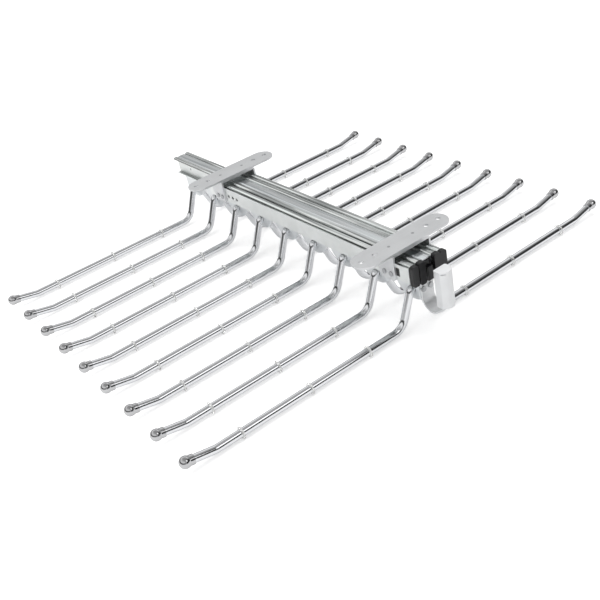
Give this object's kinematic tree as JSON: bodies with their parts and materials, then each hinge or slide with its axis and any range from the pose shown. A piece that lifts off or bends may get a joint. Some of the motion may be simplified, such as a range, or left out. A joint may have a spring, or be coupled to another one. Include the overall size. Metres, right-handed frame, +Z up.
{
  "type": "pull out trouser rack",
  "caption": "Pull out trouser rack with double arms on a central carrier between two telescopic ball slides, hung from two screw plates.",
  "frame": {"origin": "middle of the closed rack's outline seen from above, level with the lowest point of the grip rings", "axes": "+X along the arms to the right, +Y to the back of the wardrobe, +Z up; the handle is at -Y and the rack pulls out along -Y"},
  "size_m": [0.5394, 0.467, 0.0917],
  "materials": {
    "chrome_rod": "bright chrome plate",
    "zinc_rail": "bright zinc plate",
    "satin_plate": "satin nickel plate",
    "carrier_steel": "bright zinc plate",
    "rivet_steel": "plain",
    "cage_steel": "plain strip",
    "ball_steel": "polished",
    "handle_silver": "silver, satin",
    "black_plastic": "moulded",
    "clear_ring": "clear, soft"
  },
  "bodies": {
    "shelf_frame": {"front_mounting_plate": "satin_plate", "rear_mounting_plate": "satin_plate", "front_saddle": "satin_plate", "rear_saddle": "satin_plate", "plate_rivets": "rivet_steel", "saddle_rivets": "rivet_steel", "fixed_rail_left": "zinc_rail", "fixed_rail_right": "zinc_rail", "fixed_rail_catches": "black_plastic"},
    "carriage": {"carriage_channel_left": "zinc_rail", "carriage_channel_right": "zinc_rail", "carriage_caps": "black_plastic", "carrier_half_left": "carrier_steel", "carrier_half_right": "carrier_steel", "carriage_rivets": "rivet_steel", "arm_1": "chrome_rod", "arm_2": "chrome_rod", "arm_3": "chrome_rod", "arm_4": "chrome_rod", "arm_5": "chrome_rod", "arm_6": "chrome_rod", "arm_7": "chrome_rod", "arm_8": "chrome_rod", "arm_9": "chrome_rod", "arm_end_balls": "chrome_rod", "grip_rings": "clear_ring", "handle_strip": "handle_silver", "handle_grip": "handle_silver", "handle_screws": "rivet_steel", "front_buffer": "black_plastic"},
    "middle_member_left": {"middle_channel_left": "zinc_rail", "middle_runner_left": "zinc_rail", "middle_rivets_left": "rivet_steel", "middle_cap_left": "black_plastic"},
    "outer_ball_row_left": {"outer_cage_left": "cage_steel", "outer_balls_left": "ball_steel"},
    "inner_ball_row_left": {"inner_cage_left": "cage_steel", "inner_balls_left": "ball_steel"},
    "middle_member_right": {"middle_channel_right": "zinc_rail", "middle_runner_right": "zinc_rail", "middle_rivets_right": "rivet_steel", "middle_cap_right": "black_plastic"},
    "outer_ball_row_right": {"outer_cage_right": "cage_steel", "outer_balls_right": "ball_steel"},
    "inner_ball_row_right": {"inner_cage_right": "cage_steel", "inner_balls_right": "ball_steel"}
  },
  "joints": [
    {"name": "pull_out", "type": "slide", "parent": "shelf_frame", "child": "carriage", "axis": [0, -1, 0], "range_m": [0, 0.33]},
    {"name": "middle_member_left_slide", "type": "slide", "parent": "shelf_frame", "child": "middle_member_left", "axis": [0, -1, 0], "range_m": [0, 0.165]},
    {"name": "outer_ball_row_left_slide", "type": "slide", "parent": "shelf_frame", "child": "outer_ball_row_left", "axis": [0, -1, 0], "range_m": [0, 0.0825]},
    {"name": "inner_ball_row_left_slide", "type": "slide", "parent": "shelf_frame", "child": "inner_ball_row_left", "axis": [0, -1, 0], "range_m": [0, 0.2475]},
    {"name": "middle_member_right_slide", "type": "slide", "parent": "shelf_frame", "child": "middle_member_right", "axis": [0, -1, 0], "range_m": [0, 0.165]},
    {"name": "outer_ball_row_right_slide", "type": "slide", "parent": "shelf_frame", "child": "outer_ball_row_right", "axis": [0, -1, 0], "range_m": [0, 0.0825]},
    {"name": "inner_ball_row_right_slide", "type": "slide", "parent": "shelf_frame", "child": "inner_ball_row_right", "axis": [0, -1, 0], "range_m": [0, 0.2475]}
  ],
  "couplings": [
    {"joint": "middle_member_left_slide", "follows": "pull_out", "ratio": 0.5},
    {"joint": "outer_ball_row_left_slide", "follows": "pull_out", "ratio": 0.25},
    {"joint": "inner_ball_row_left_slide", "follows": "pull_out", "ratio": 0.75},
    {"joint": "middle_member_right_slide", "follows": "pull_out", "ratio": 0.5},
    {"joint": "outer_ball_row_right_slide", "follows": "pull_out", "ratio": 0.25},
    {"joint": "inner_ball_row_right_slide", "follows": "pull_out", "ratio": 0.75}
  ]
}
